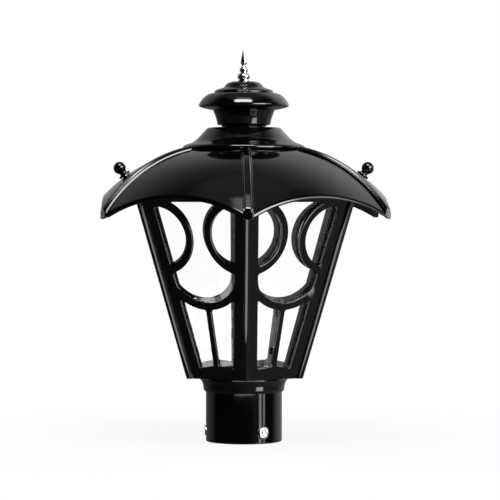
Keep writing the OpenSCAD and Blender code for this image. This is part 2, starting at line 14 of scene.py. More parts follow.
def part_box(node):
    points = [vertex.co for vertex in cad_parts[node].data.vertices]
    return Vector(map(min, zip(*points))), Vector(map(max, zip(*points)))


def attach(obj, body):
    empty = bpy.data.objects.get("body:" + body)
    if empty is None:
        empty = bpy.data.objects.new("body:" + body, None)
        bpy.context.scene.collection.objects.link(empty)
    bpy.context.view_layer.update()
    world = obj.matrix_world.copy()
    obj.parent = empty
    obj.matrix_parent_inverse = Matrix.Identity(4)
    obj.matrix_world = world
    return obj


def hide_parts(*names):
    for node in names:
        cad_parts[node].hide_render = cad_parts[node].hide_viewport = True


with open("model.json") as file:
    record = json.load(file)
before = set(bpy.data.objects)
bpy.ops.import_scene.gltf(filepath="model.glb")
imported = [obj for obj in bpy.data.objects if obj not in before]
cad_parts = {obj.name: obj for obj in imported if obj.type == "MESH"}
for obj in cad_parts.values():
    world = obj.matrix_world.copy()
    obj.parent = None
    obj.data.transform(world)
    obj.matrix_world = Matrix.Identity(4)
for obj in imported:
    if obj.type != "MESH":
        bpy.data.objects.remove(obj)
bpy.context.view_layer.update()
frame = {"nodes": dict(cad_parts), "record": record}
record = frame["record"]

MM = 0.001
SIDES = 6
SIDE_ANGLE = 360 / SIDES
HALF_ANGLE = math.radians(SIDE_ANGLE / 2)
FIRST_CORNER = -90
FIRST_PANEL = FIRST_CORNER + SIDE_ANGLE / 2

# The camera, worked out from the photograph
IMAGE_PX = 500
MM_PER_PX = 1.15
SENSOR = 36
CAMERA_DISTANCE = 2800
CAMERA_AZIMUTH = math.radians(-1.5)
CAMERA_HEIGHT = 283
AIM_RIGHT = 7.0
AIM_HEIGHT = 219.8

# The cage
CAGE_BOTTOM_R = 70.6
CAGE_TOP_R = 139.7
FRAME_T = 3.5
STILE_W = 15.5
TOP_RAIL_H = 12
SILL_H = 12
SILL_RISE = 3
BAR_W = 8.5
SIDE_RING_R = 40
SIDE_RING_U = 52
SIDE_RING_V = 167.5
BOW_R = 48
BOW_V = 134.5
MULLION_W = 6.5
BEAD_W = 6.6
BEAD_PROUD = 5
WEB_T = 2.4
FLANGE_REACH = 9
FLANGE_T = 2.2
GLASS_T = 2
RING_H = 5
STRIP_GAP = 0.2
FRAME_SETBACK = WEB_T / 2 + 0.15

# The roof
ROOF_ARC_R = 175.8
ROOF_ARC_X = 33
ROOF_T = 3
GORE_SHIFT = 60
EAVE_R = 162
TIP_CUT = 3
RIB_W = 12
RIB_H = 3.6
RIB_TOP_W = 7.2
CROWN_BORE_R = 46
CROWN_RING_R = 58
CROWN_RING_H = 7.5
RIB_START_R = 71.5
RIM_R = ROOF_T / 2
LUG_W = 10
LUG_LEN = 12
LUG_SETBACK = 21.7
STUD_R = 136

# The pole sleeve
SLEEVE_BORE = 77.6
CLAMP_ANGLES = (-60, 60, 180)
CLAMP_Z = 12.6
CLAMP_HOLE_D = 12.4
CLAMP_SINK_D = 16
CLAMP_SINK_DEPTH = 1.67

# The studio, in metres
FLOOR_HALF = 12
FRONT_CARD_GLOW = 4.5
FRONT_CARD = ((-0.1, -0.18, 0.045), (0.1, -0.18, 0.045), (0.1, -0.235, 0.23), (-0.1, -0.235, 0.23))
PLAIN_LIGHT = 0.6

# Sizes that the frame gives, in millimetres
def box_mm(node):
    low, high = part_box(node)
    return low / MM, high / MM


CAGE_Z0 = box_mm("side_frame_1")[0].z
CAGE_Z1 = box_mm("side_frame_1")[1].z
CROWN_Z = box_mm("roof")[1].z
RING_TOP_Z = CAGE_Z1 + RING_H
CAGE_H = CAGE_Z1 - CAGE_Z0
FLAT_BOTTOM_R = CAGE_BOTTOM_R * math.cos(HALF_ANGLE)
FLAT_TOP_R = CAGE_TOP_R * math.cos(HALF_ANGLE)
PANEL_TILT = math.atan((FLAT_TOP_R - FLAT_BOTTOM_R) / CAGE_H)
CORNER_TILT = math.atan((CAGE_TOP_R - CAGE_BOTTOM_R) / CAGE_H)
PANEL_SLANT = CAGE_H / math.cos(PANEL_TILT)
FOLD = math.asin(math.sin(HALF_ANGLE) * math.cos(PANEL_TILT))
ROOF_ARC_Z = CROWN_Z - ROOF_ARC_R - 0.25
TIP_R = EAVE_R / math.cos(HALF_ANGLE) - TIP_CUT

BODY_OF = {node: body for body, nodes in record["behaviour"]["bodies"].items() for node in nodes}
SLOT_OF = {part["node"]: part["material_slot"] for part in record["subparts"]}
MATERIALS = {}


# Materials

def new_material(name):
    material = bpy.data.materials.new(name)
    material.use_nodes = True
    nodes = material.node_tree.nodes
    return material, nodes, material.node_tree.links, nodes["Principled BSDF"]


def noise(nodes, links, scale, detail=3.0, stretch=(1, 1, 1)):
    """A noise over the object's own coordinates, in metres."""
    place = nodes.new("ShaderNodeTexCoord")
    mapping = nodes.new("ShaderNodeMapping")
    mapping.inputs["Scale"].default_value = stretch
    texture = nodes.new("ShaderNodeTexNoise")
    texture.inputs["Scale"].default_value = scale
    texture.inputs["Detail"].default_value = detail
    links.new(place.outputs["Object"], mapping.inputs["Vector"])
    links.new(mapping.outputs["Vector"], texture.inputs["Vector"])
    return texture.outputs["Fac"]


def spread(nodes, links, value, low, high):
    """Maps the middle of a noise to the range from low to high."""
    remap = nodes.new("ShaderNodeMapRange")
    remap.inputs["From Min"].default_value = 0.3
    remap.inputs["From Max"].default_value = 0.7
    remap.inputs["To Min"].default_value = low
    remap.inputs["To Max"].default_value = high
    links.new(value, remap.inputs["Value"])
    return remap.outputs["Result"]


def maths(nodes, links, kind, *values):
    node = nodes.new("ShaderNodeMath")
    node.operation = kind
    for socket, value in zip(node.inputs, values):
        if isinstance(value, (int, float)):
            socket.default_value = value
        else:
            links.new(value, socket)
    return node.outputs["Value"]


def fade(nodes, links, value, from_low, from_high, to_low, to_high):
    """Turns one range into another with soft ends."""
    node = nodes.new("ShaderNodeMapRange")
    node.interpolation_type = "SMOOTHSTEP"
    ends = (("From Min", from_low), ("From Max", from_high), ("To Min", to_low), ("To Max", to_high))
    for name, number in ends:
        node.inputs[name].default_value = number
    links.new(value, node.inputs["Value"])
    return node.outputs["Result"]


def two_tones(nodes, links, value, dark, light):
    ramp = nodes.new("ShaderNodeValToRGB")
    ramp.color_ramp.elements[0].position = 0.3
    ramp.color_ramp.elements[1].position = 0.7
    ramp.color_ramp.elements[0].color = (*dark, 1)
    ramp.color_ramp.elements[1].color = (*light, 1)
    links.new(value, ramp.inputs["Fac"])
    return ramp.outputs["Color"]


def bump(nodes, links, value, depth_mm, strength=1.0, under=None):
    node = nodes.new("ShaderNodeBump")
    node.inputs["Distance"].default_value = depth_mm * MM
    node.inputs["Strength"].default_value = strength
    links.new(value, node.inputs["Height"])
    if under is not None:
        links.new(under, node.inputs["Normal"])
    return node.outputs["Normal"]


def gloss_paint(name, dark, light, roughness, wave_mm, peel_mm):
    """Gloss paint: a slow wave of the casting under it, and the fine peel of the sprayed coat."""
    material, nodes, links, shader = new_material(name)
    tone = noise(nodes, links, 30, 4)
    links.new(two_tones(nodes, links, tone, dark, light), shader.inputs["Base Color"])
    links.new(spread(nodes, links, noise(nodes, links, 70, 5), roughness * 0.7, roughness * 1.4),
              shader.inputs["Roughness"])
    wave = bump(nodes, links, noise(nodes, links, 22, 2), wave_mm)
    links.new(bump(nodes, links, noise(nodes, links, 420, 2), peel_mm, under=wave), shader.inputs["Normal"])
    shader.inputs["IOR"].default_value = 1.5
    return material


def metal(name, dark, light, roughness, scale, stretch=(1, 1, 1), grain_mm=0.004):
    material, nodes, links, shader = new_material(name)
    grain = noise(nodes, links, scale, 5, stretch)
    links.new(two_tones(nodes, links, grain, dark, light), shader.inputs["Base Color"])
    links.new(spread(nodes, links, grain, roughness * 0.7, roughness * 1.3), shader.inputs["Roughness"])
    links.new(bump(nodes, links, grain, grain_mm), shader.inputs["Normal"])
    shader.inputs["Metallic"].default_value = 1
    return material


def clear_glass(name):
    """Float glass that lets the lamps' light through, with a trace of handling marks in its gloss."""
    material, nodes, links, shader = new_material(name)
    smear = noise(nodes, links, 14, 6, (1, 1, 0.4))
    links.new(two_tones(nodes, links, smear, (0.965, 0.975, 0.97), (0.99, 0.995, 0.99)),
              shader.inputs["Base Color"])
    links.new(spread(nodes, links, smear, 0.0, 0.02), shader.inputs["Roughness"])
    shader.inputs["Transmission Weight"].default_value = 1
    shader.inputs["IOR"].default_value = 1.45
    rays = nodes.new("ShaderNodeLightPath")
    clear = nodes.new("ShaderNodeBsdfTransparent")
    clear.inputs["Color"].default_value = (0.95, 0.96, 0.955, 1)
    mix = nodes.new("ShaderNodeMixShader")
    links.new(rays.outputs["Is Shadow Ray"], mix.inputs["Fac"])
    links.new(shader.outputs["BSDF"], mix.inputs[1])
    links.new(clear.outputs["BSDF"], mix.inputs[2])
    links.new(mix.outputs["Shader"], nodes["Material Output"].inputs["Surface"])
    return material


def glazed_ceramic(name):
    material, nodes, links, shader = new_material(name)
    cloud = noise(nodes, links, 90, 6)
    links.new(two_tones(nodes, links, cloud, (0.80, 0.78, 0.72), (0.88, 0.87, 0.83)),
              shader.inputs["Base Color"])
    links.new(spread(nodes, links, cloud, 0.12, 0.22), shader.inputs["Roughness"])
    links.new(bump(nodes, links, noise(nodes, links, 300, 2), 0.01), shader.inputs["Normal"])
    return material


def make_materials():
    MATERIALS.update({
        "black_paint": gloss_paint("black_paint", (0.0008, 0.0009, 0.0012), (0.0018, 0.002, 0.0024),
                                   0.08, 0.2, 0.003),
        "sleeve_paint": gloss_paint("sleeve_paint", (0.0008, 0.0009, 0.0012), (0.0016, 0.0018, 0.0022),
                                    0.07, 0.1, 0.002),
        "clear_glass": clear_glass("clear_glass"),
        "zinc_steel": metal("zinc_steel", (0.60, 0.61, 0.62), (0.74, 0.75, 0.76), 0.24, 500),
        "bright_chrome": metal("bright_chrome", (0.76, 0.77, 0.78), (0.84, 0.85, 0.86), 0.06, 260, (1, 1, 9),
                               0.001),
        "holder_body": glazed_ceramic("holder_body"),
        "brass_contact": metal("brass_contact", (0.70, 0.50, 0.22), (0.82, 0.64, 0.32), 0.26, 350),
    })


# Pieces

def new_piece(node, bm, smooth_angle=40):
    """Makes a piece from a bmesh in millimetres, which stands for a CAD node and moves with its body."""
    bmesh.ops.recalc_face_normals(bm, faces=bm.faces)
    bm.transform(Matrix.Scale(MM, 4))
    mesh = bpy.data.meshes.new(f"fine_{node}")
    bm.to_mesh(mesh)
    bm.free()
    mesh.polygons.foreach_set("use_smooth", [True] * len(mesh.polygons))
    mesh.set_sharp_from_angle(angle=math.radians(smooth_angle))
    piece = bpy.data.objects.new(f"fine_{node}", mesh)
    bpy.context.scene.collection.objects.link(piece)
    mesh.materials.append(MATERIALS[SLOT_OF[node]])
    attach(piece, BODY_OF[node])
    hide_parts(node)
    return piece


def cad_bmesh(node):
    """A copy of a CAD node's mesh in millimetres, with its flat faces in one piece each."""
    bm = bmesh.new()
    bm.from_mesh(frame["nodes"][node].data)
    bm.transform(Matrix.Scale(1 / MM, 4))
    bmesh.ops.remove_doubles(bm, verts=bm.verts, dist=0.001)
    return bm


def soften_edges(bm, width, segments=2, over_degrees=28):
    bmesh.ops.dissolve_limit(bm, angle_limit=math.radians(0.6), verts=bm.verts, edges=bm.edges)
    sharp = [e for e in bm.edges if e.is_manifold and e.calc_face_angle(0) > math.radians(over_degrees)]
    bmesh.ops.bevel(bm, geom=sharp, offset=width, segments=segments, profile=0.5, affect="EDGES",
                    clamp_overlap=True)


def softened_piece(node, width):
    bm = cad_bmesh(node)
    soften_edges(bm, width)
    return new_piece(node, bm)


def chains(segments):
    """Joins segments end to end: a list of (points, closed), each point a pair in millimetres."""
    def key(point):
        return round(point[0], 3), round(point[1], 3)

    links, places = {}, {}
    for a, b in segments:
        ka, kb = key(a), key(b)
        if ka != kb:
            places[ka], places[kb] = a, b
            links.setdefault(ka, set()).add(kb)
            links.setdefault(kb, set()).add(ka)
    found = []
    while links:
        start = min(links, key=lambda k: (len(links[k]), k))
        walk, here = [start], start
        while links.get(here):
            there = min(links[here])
            links[here].discard(there)
            links[there].discard(here)
            walk.append(there)
            here = there
        for k in [k for k in links if not links[k]]:
            del links[k]
        closed = walk[0] == walk[-1]
        points = np.array([places[k] for k in (walk[:-1] if closed else walk)], float)
        found.append((points, closed))
    return sorted(found, key=lambda item: -len(item[0]))


def without_straight_points(points, closed, tolerance=0.02):
    """Drops the points that lie on the line between their neighbours."""
    keep = list(points)
    index = 0 if closed else 1
    while index < len(keep) - (0 if closed else 1) and len(keep) > 3:
        before, here, after = keep[index - 1], keep[index], keep[(index + 1) % len(keep)]
        along = after - before
        side = here - before
        offset = abs(along[0] * side[1] - along[1] * side[0]) / max(np.hypot(*along), 1e-9)
        if offset < tolerance:
            keep.pop(index)
        else:
            index += 1
    return np.array(keep)


def rounded(points, closed, reach, passes=3):
    """Cuts every corner of an outline again and again, by no more than reach."""
    for _ in range(passes):
        count = len(points)
        out = [] if closed else [points[0]]
        for i in range(0 if closed else 1, count if closed else count - 1):
            here = points[i]
            for there in (points[i - 1], points[(i + 1) % count]):
                span = np.hypot(*(there - here))
                out.append(here + (there - here) * min(0.25, reach / max(span, 1e-9)))
        if not closed:
            out.append(points[-1])
        points = np.array(out)
        reach /= 2
    return points


def turned_bmesh(outline, closed, steps=160):
    """A solid of revolution from an outline of (radius, height) points."""
    bm = bmesh.new()
    verts = [bm.verts.new((max(r, 0), 0, z)) for r, z in outline]
    edges = [bm.edges.new(pair) for pair in zip(verts, verts[1:])]
    if closed:
        edges.append(bm.edges.new((verts[-1], verts[0])))
    bmesh.ops.spin(bm, geom=verts + edges, cent=(0, 0, 0), axis=(0, 0, 1), angle=2 * math.pi, steps=steps,
                   use_merge=True)
    bmesh.ops.remove_doubles(bm, verts=bm.verts, dist=0.002)
    return bm


def half_section(bm):
    """The outline of a turned solid in the half-plane of its own axis."""
    bm.transform(Matrix.Rotation(math.radians(1.3), 4, "Z"))
    geom = bm.verts[:] + bm.edges[:] + bm.faces[:]
    cut = bmesh.ops.bisect_plane(bm, geom=geom, plane_co=(0, 0, 0), plane_no=(0, 1, 0))["geom_cut"]
    segments = []
    for edge in cut:
        if not isinstance(edge, bmesh.types.BMEdge):
            continue
        a, b = [np.array((v.co.x, v.co.z)) for v in edge.verts]
        if a[0] > b[0]:
            a, b = b, a
        if b[0] <= 0.01:
            continue
        if a[0] < 0:
            a = a + (b - a) * (-a[0] / (b[0] - a[0]))
        segments.append((a, b))
    return chains(segments)[0]


def turned_piece(node, reach, place=Matrix.Identity(4), steps=160):
    """Turns a smooth solid from the section of a CAD node about the axis that place gives."""
    bm = cad_bmesh(node)
    bm.transform(place.inverted())
    outline, closed = half_section(bm)
    bm.free()
    outline = rounded(without_straight_points(outline, closed), closed, reach)
    fine = turned_bmesh(outline, closed, steps)
    fine.transform(place)
    return new_piece(node, fine, 50)


# Side frames and corner strips

def half_width(v):
    return (CAGE_BOTTOM_R + (CAGE_TOP_R - CAGE_BOTTOM_R) * v / PANEL_SLANT) / 2


def smooth_union(a, b, fillet):
    blend = np.maximum(fillet - np.abs(a - b), 0)
    return np.minimum(a, b) - blend * blend / (4 * fillet)


def metal_distance(u, v, fillet=3.2):
    """Distance from the metal of a side frame at (u across, v up its panel), negative inside it."""
    v_sill = SILL_H / math.cos(PANEL_TILT)
    v_rail = (CAGE_H - TOP_RAIL_H) / math.cos(PANEL_TILT)
    edge_slope = math.atan((half_width(PANEL_SLANT) - half_width(0)) / PANEL_SLANT)
    w0 = half_width(v_sill) - STILE_W
    sill_r = (w0 ** 2 + SILL_RISE ** 2) / (2 * SILL_RISE)
    stiles = (half_width(v) - STILE_W - np.abs(u)) * math.cos(edge_slope)
    sill = np.hypot(u, v - (v_sill + SILL_RISE - sill_r)) - sill_r
    rings = np.abs(np.hypot(np.abs(u) - SIDE_RING_U, v - SIDE_RING_V) - SIDE_RING_R) - BAR_W / 2
    bow = np.maximum(np.abs(np.hypot(u, v - BOW_V) - BOW_R) - BAR_W / 2, v - BOW_V)
    mullion = np.maximum(np.abs(u) - MULLION_W / 2, v - (BOW_V - BOW_R))
    distance = smooth_union(stiles, sill, fillet)
    for bar in (v_rail - v, rings, bow, mullion):
        distance = smooth_union(distance, bar, fillet)
    return distance


def window_outlines(step=1.0, spacing=1.2):
    """The closed edges of a side frame's openings, found where its distance is zero."""
    across, up = half_width(PANEL_SLANT), PANEL_SLANT
    bm = bmesh.new()
    bmesh.ops.create_grid(bm, x_segments=int(2 * across / step), y_segments=int(up / step), size=0.5)
    u = np.array([v.co.x for v in bm.verts]) * 2 * across
    v = (np.array([v.co.y for v in bm.verts]) + 0.5) * up
    for vert, x, y, z in zip(bm.verts, u, v, metal_distance(u, v)):
        vert.co = x, y, z
    geom = bm.verts[:] + bm.edges[:] + bm.faces[:]
    cut = bmesh.ops.bisect_plane(bm, geom=geom, dist=1e-5, plane_co=(0, 0, 0), plane_no=(0, 0, 1))["geom_cut"]
    segments = [[np.array(v.co[:2]) for v in edge.verts]
                for edge in cut if isinstance(edge, bmesh.types.BMEdge)]
    bm.free()
    outlines = []
    for points, closed in chains(segments):
        ends = np.vstack([points, points[:1]])
        run = np.concatenate([[0], np.cumsum(np.hypot(*np.diff(ends, axis=0).T))])
        if closed and run[-1] > 20:
            places = np.linspace(0, run[-1], int(run[-1] / spacing), endpoint=False)
            outlines.append(np.column_stack([np.interp(places, run, ends[:, k]) for k in (0, 1)]))
    return outlines


def plate_bmesh(outlines, thickness, edge):
    """A flat plate with rounded edges from closed outlines, holes among them, below z = 0."""
    curve = bpy.data.curves.new("plate", "CURVE")
    curve.dimensions = "2D"
    curve.fill_mode = "BOTH"
    curve.extrude = thickness / 2 - edge
    curve.bevel_depth = edge
    curve.bevel_resolution = 2
    curve.offset = -edge
    for outline in outlines:
        spline = curve.splines.new("POLY")
        spline.points.add(len(outline) - 1)
        spline.points.foreach_set("co", np.column_stack(
            [outline, np.zeros(len(outline)), np.ones(len(outline))]).ravel())
        spline.use_cyclic_u = True
    holder = bpy.data.objects.new("plate", curve)
    bpy.context.scene.collection.objects.link(holder)
    mesh = bpy.data.meshes.new_from_object(holder.evaluated_get(bpy.context.evaluated_depsgraph_get()))
    bm = bmesh.new()
    bm.from_mesh(mesh)
    bpy.data.objects.remove(holder)
    bpy.data.curves.remove(curve)
    bpy.data.meshes.remove(mesh)
    bmesh.ops.remove_doubles(bm, verts=bm.verts, dist=0.002)
    bm.transform(Matrix.Translation((0, 0, -thickness / 2)))
    return bm


def trimmed(bm, point, outward):
    """Cuts away what lies beyond a plane and closes the cut."""
    geom = bm.verts[:] + bm.edges[:] + bm.faces[:]
    cut = bmesh.ops.bisect_plane(bm, geom=geom, dist=1e-4, plane_co=point, plane_no=outward, clear_outer=True)
    edges = [e for e in cut["geom_cut"] if isinstance(e, bmesh.types.BMEdge) and e.is_boundary]
    bmesh.ops.edgenet_fill(bm, edges=edges)


def turn_z(degrees):
    return Matrix.Rotation(math.radians(degrees), 4, "Z")


def panel_place():
    """Panel coordinates to the row frame, for the panel that faces +X: across, up the slant, outwards."""
    s, c = math.sin(PANEL_TILT), math.cos(PANEL_TILT)
    axes = Matrix(((0, s, c), (1, 0, 0), (0, c, -s))).to_4x4()
    return Matrix.Translation((FLAT_BOTTOM_R, 0, CAGE_Z0)) @ axes


def foot_lug():
    """The lug at a side frame's foot, which its screw holds to the base plate."""
    lug_t, lug_w, reach = 3, 14, 12
    z0 = CAGE_Z0 + 4
    outer = FLAT_BOTTOM_R + (z0 + lug_t - CAGE_Z0) * math.tan(PANEL_TILT)
    outer -= FRAME_T / math.cos(PANEL_TILT)
    bm = bmesh.new()
    bmesh.ops.create_cube(bm, size=1)
    bm.transform(Matrix.Translation((outer - reach / 2 + 0.8, 0, z0 + lug_t / 2)) @
                 Matrix.Diagonal((reach + 1.6, lug_w, lug_t, 1)))
    soften_edges(bm, 0.6)
    return bm


def join_bmesh(bm, other):
    mesh = bpy.data.meshes.new("join")
    other.to_mesh(mesh)
    other.free()
    bm.from_mesh(mesh)
    bpy.data.meshes.remove(mesh)


def side_frames():
    across, up, spare = half_width(PANEL_SLANT) + 10, PANEL_SLANT + 10, 10
    border = np.array([(-across, -spare), (across, -spare), (across, up), (-across, up)], float)
    plate = plate_bmesh([border] + window_outlines(), FRAME_T, 0.8)
    plate.transform(panel_place())
    for side in (-1, 1):
        outward = Vector((-math.sin(HALF_ANGLE), side * math.cos(HALF_ANGLE), 0))
        trimmed(plate, -outward * FRAME_SETBACK, outward)
    trimmed(plate, (0, 0, CAGE_Z0), (0, 0, -1))
    trimmed(plate, (0, 0, CAGE_Z1), (0, 0, 1))
    join_bmesh(plate, foot_lug())
    for i in range(SIDES):
        bm = plate.copy()
        bm.transform(turn_z(FIRST_PANEL + i * SIDE_ANGLE))
        new_piece(f"side_frame_{i + 1}", bm, 35)
    plate.free()


def bead_outline(steps=14):
    """Section of a corner strip's bead and web: outwards is x, across is y."""
    nose, side, under = BEAD_PROUD - BEAD_W / 2, BEAD_W / 2, math.tan(FOLD)
    back = -FRAME_T / math.cos(FOLD)
    arc = [(nose + side * math.cos(a), side * math.sin(a))
           for a in np.linspace(-math.pi / 2, math.pi / 2, steps)]
    foot = STRIP_GAP - under * side
    root = STRIP_GAP - under * WEB_T / 2
    return np.array(arc + [(foot + 0.5, side), (foot, side - 0.4), (root, WEB_T / 2), (back, WEB_T / 2),
                           (back, -WEB_T / 2), (root, -WEB_T / 2), (foot, 0.4 - side), (foot + 0.5, -side)])


def flange_outline():
    """Section of the inner flange that holds two panes."""
    back = -FRAME_T / math.cos(FOLD)
    seat = -(FRAME_T + 0.3 + GLASS_T + STRIP_GAP) / math.cos(FOLD)
    lean = math.tan(FOLD) * FLANGE_REACH
    near = seat - math.tan(FOLD) * WEB_T / 2
    return np.array([(back, WEB_T / 2), (near, WEB_T / 2), (seat - lean, FLANGE_REACH),
                     (seat - lean - FLANGE_T, FLANGE_REACH), (seat - FLANGE_T, 0),
                     (seat - lean - FLANGE_T, -FLANGE_REACH), (seat - lean, -FLANGE_REACH),
                     (near, -WEB_T / 2), (back, -WEB_T / 2)])


def along_corner(outline, z_low, z_high):
    """Extrudes a section along the corner that faces +X, between two levels."""
    length, spare = CAGE_H / math.cos(CORNER_TILT), 20
    bm = plate_bmesh([outline], length + 2 * spare, 0)
    lean = Matrix.Rotation(CORNER_TILT, 4, "Y")
    bm.transform(Matrix.Translation((CAGE_BOTTOM_R, 0, CAGE_Z0)) @ lean @
                 Matrix.Translation((0, 0, length + spare)))
    trimmed(bm, (0, 0, z_low), (0, 0, -1))
    trimmed(bm, (0, 0, z_high), (0, 0, 1))
    return bm


def corner_strips():
    strip = along_corner(bead_outline(), CAGE_Z0, CAGE_Z1)
    join_bmesh(strip, along_corner(flange_outline(), CAGE_Z0 + 4.2, CAGE_Z1 - 6.2))
    for i in range(SIDES):
        bm = strip.copy()
        bm.transform(turn_z(FIRST_CORNER + i * SIDE_ANGLE))
        new_piece(f"corner_strip_{i + 1}", bm, 35)
    strip.free()


# The roof

def arc_z(r, inset=0):
    return ROOF_ARC_Z + np.sqrt(np.maximum((ROOF_ARC_R - inset) ** 2 - (r - ROOF_ARC_X) ** 2, 0))


def gore_z(a, b, inset=0):
    """Height of a gore at a along its middle and b across it."""
    return arc_z(np.hypot(a + GORE_SHIFT, b) - GORE_SHIFT, inset)


def crease_z(c):
    return gore_z(c * math.cos(HALF_ANGLE), c * math.sin(HALF_ANGLE))


def crease_slope(c):
    return np.arctan((crease_z(c - 0.5) - crease_z(c + 0.5)) / 1.0)


def rib_lift(d):
    """Height of a rib above the crease at d from its middle: a raised centre between two shoulders."""
    shoulder = RIB_H * 0.5
    half, top = RIB_W / 2, RIB_TOP_W / 2
    centre = np.clip((top + 0.7 - d) / 1.4, 0, 1)
    centre = centre * centre * (3 - 2 * centre)
    crown = (RIB_H - shoulder) * centre * (1 - 0.1 * (d / top) ** 2)
    edge = np.clip((half - d) / 0.9, 0, 1)
    return (shoulder + crown) * np.sqrt(edge * (2 - edge))


def gore_rows():
    """Distances along a gore's middle, close together where a rib starts and where it ends."""
    return np.concatenate([np.arange(52, 68, 0.8), np.arange(68, EAVE_R - 8, 1),
                           np.linspace(EAVE_R - 8, EAVE_R - RIM_R, 18)])


def roof_rows():
    """Rings of points round the roof, from the crown's bore over the top to the eave and back underneath."""
    rib_columns = np.array([0, 0.9, 1.8, 2.5, 3.0, 3.4, 3.8, 4.2, 4.6, 5.1, 5.5, 5.8, 5.95, 6.05, 6.4, 7.2])
    gore_columns = np.linspace(0, 1, 13)[1:]
    rib_out = TIP_R - 0.15

    def gore_ring(a, inset, ribs):
        """One ring at a along the gores' middles: the right half of a gore, mirrored and repeated."""
        widest = a * math.tan(HALF_ANGLE)
        edge = widest - rib_columns / math.cos(HALF_ANGLE)
        b = np.concatenate([edge, edge[-1] * (1 - gore_columns)])
        aa = np.full_like(b, a)
        clip = np.minimum(1, TIP_R / np.hypot(aa, b))
        aa, b = aa * clip, b * clip
        d = (aa * math.tan(HALF_ANGLE) - b) * math.cos(HALF_ANGLE)
        z = gore_z(aa, b, inset)
        c = aa * math.cos(HALF_ANGLE) + b * math.sin(HALF_ANGLE)
        if ribs:
            ends = np.clip((c - RIB_START_R) / 1.6, 0, 1) * np.clip((rib_out - c) / 4, 0, 1)
            ends = np.sqrt(np.clip(ends, 0, 1) * (2 - np.clip(ends, 0, 1)))
            on_rib = (d < RIB_W / 2) & (ends > 0)
            lift = rib_lift(d) * ends
            slope = crease_slope(c)
            z = np.where(on_rib, np.maximum(z, crease_z(c) + lift * np.cos(slope)), z)
            shift = np.where(on_rib, lift * np.sin(slope), 0)
            aa = np.minimum(aa + shift * math.cos(HALF_ANGLE), max(a, EAVE_R - 0.1))
            b = b + shift * math.sin(HALF_ANGLE)
            clip = np.minimum(1, TIP_R / np.hypot(aa, b))
            aa, b = aa * clip, b * clip
        return aa, b, z

    def whole_ring(a, b, z):
        left = np.column_stack([a, b, z])
        right = np.column_stack([a, -b, z])[::-1][1:-1]
        half = np.vstack([left, right])
        turns = [FIRST_PANEL + i * SIDE_ANGLE for i in range(SIDES)]
        return np.vstack([half[::-1] @ np.array(turn_z(t).to_3x3()).T for t in turns])

    def round_ring(radius, z):
        """A ring of constant radius with its points in line with those of the gores."""
        a, b, _ = gore_ring(80, 0, False)
        scale = radius / np.hypot(a, b)
        return whole_ring(a * scale, b * scale, np.full_like(a, z))

    low = CROWN_Z - CROWN_RING_H
    rows = [round_ring(CROWN_BORE_R, low), round_ring(CROWN_BORE_R, CROWN_Z - 0.3),
            round_ring(CROWN_RING_R - 0.6, CROWN_Z - 0.3)]
    rows += [whole_ring(*gore_ring(a, 0, True)) for a in gore_rows() if a > 56]
    for angle in np.radians([20, 45, 70, 90, 110, 135, 160]):
        inset = RIM_R * (1 - math.cos(angle))
        rows.append(whole_ring(*gore_ring(EAVE_R - RIM_R + RIM_R * math.sin(angle), inset, angle < 1.0)))
    rows += [whole_ring(*gore_ring(a, ROOF_T, False)) for a in gore_rows()[::-1][::2] if a > 60]
    rows.append(round_ring(CROWN_RING_R, low))
    return rows


def roof():
    rows = roof_rows()
    bm = bmesh.new()
    rings = [[bm.verts.new(p) for p in row] for row in rows]
    for near, far in zip(rings, rings[1:] + rings[:1]):
        for i in range(len(near)):
            bm.faces.new((near[i - 1], near[i], far[i], far[i - 1]))
    bmesh.ops.remove_doubles(bm, verts=bm.verts, dist=0.01)
    lug_r = CAGE_TOP_R - LUG_SETBACK
    for i in range(SIDES):
        lug = bmesh.new()
        bmesh.ops.create_cube(lug, size=1)
        for vert in lug.verts:
            x = lug_r + LUG_LEN * (vert.co.x + 0.5)
            top = float(crease_z(x)) - RIM_R - 0.5
            vert.co = x, vert.co.y * LUG_W, RING_TOP_Z if vert.co.z < 0 else top
        soften_edges(lug, 0.6)
        lug.transform(turn_z(FIRST_CORNER + i * SIDE_ANGLE))
        join_bmesh(bm, lug)
    new_piece("roof", bm, 60)


def stud_place(azimuth):
    """The frame of a stud: its z runs along the stud, zero where it comes out of the roof."""
    tilt = math.asin((STUD_R - ROOF_ARC_X) / ROOF_ARC_R)
    return (turn_z(azimuth) @ Matrix.Translation((STUD_R, 0, float(arc_z(STUD_R)))) @
            Matrix.Rotation(tilt, 4, "Y"))


# The sleeve and the base

